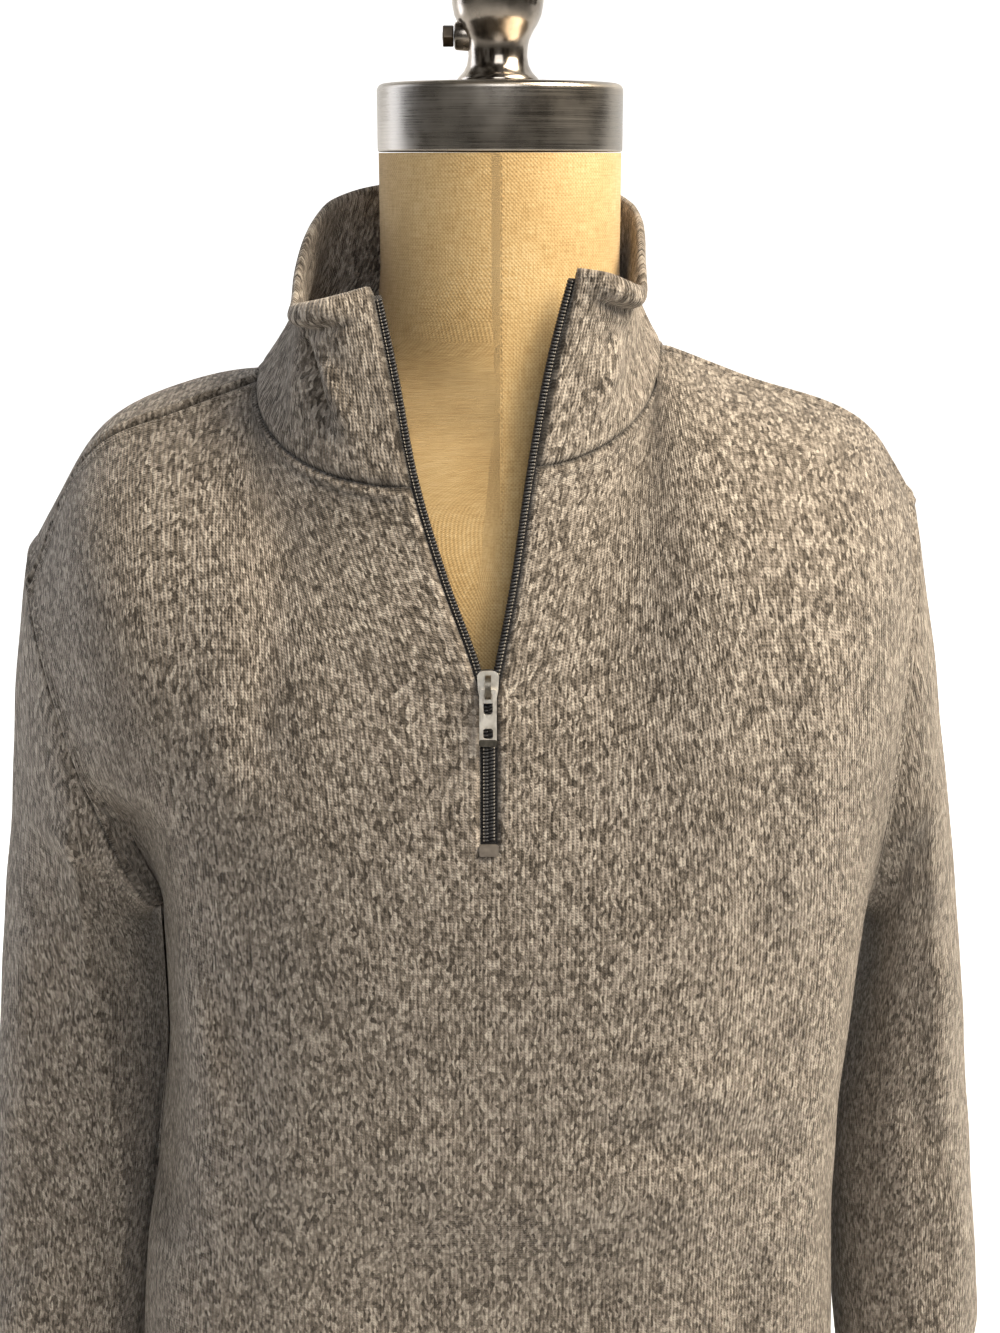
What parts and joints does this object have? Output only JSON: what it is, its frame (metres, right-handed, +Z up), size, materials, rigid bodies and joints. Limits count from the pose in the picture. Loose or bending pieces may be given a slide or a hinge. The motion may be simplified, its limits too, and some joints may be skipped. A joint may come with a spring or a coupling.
{
  "type": "quarter zip sweater on a dress form",
  "caption": "Marled knit sweater with a stand collar and an open chest zip, worn on a limbless canvas dress form with a metal neck cap and finial.",
  "frame": {"origin": "middle of the dress form's base board, on its underside", "axes": "+Z up through the neck, -Y out of the sweater's front, +X towards the wearer's left sleeve"},
  "size_m": [0.568, 0.2351, 0.9265],
  "materials": {
    "knit": "marled brushed knit",
    "zip_tape": "woven tape",
    "zip_coil": "moulded coil",
    "pewter": "plated, lightly worn",
    "canvas": "unbleached canvas",
    "board": "stained and lacquered",
    "steel": "brushed",
    "bolt_steel": "dulled"
  },
  "bodies": {
    "sweater_on_form": {"front_panel": "knit", "back_panel": "knit", "sleeve_left": "knit", "sleeve_right": "knit", "collar": "knit", "zip_tape_left": "zip_tape", "zip_tape_right": "zip_tape", "zip_coil_left": "zip_coil", "zip_coil_right": "zip_coil", "zip_bottom_stop": "pewter", "zip_slider": "pewter", "form_torso": "canvas", "form_base": "board", "neck_cap": "steel", "finial": "steel"},
    "pull": {"pull_tab": "pewter"},
    "bolt": {"finial_bolt": "bolt_steel"}
  },
  "joints": [
    {"name": "pull_swing", "type": "hinge", "parent": "sweater_on_form", "child": "pull", "pos_m": [-0.00532, -0.11971, 0.59201], "axis": [-1, 0, 0], "range_deg": [0, 140]},
    {"name": "bolt_turn", "type": "hinge", "parent": "sweater_on_form", "child": "bolt", "pos_m": [-0.001, 0, 0.8765], "axis": [-1, 0, 0], "continuous": true}
  ]
}
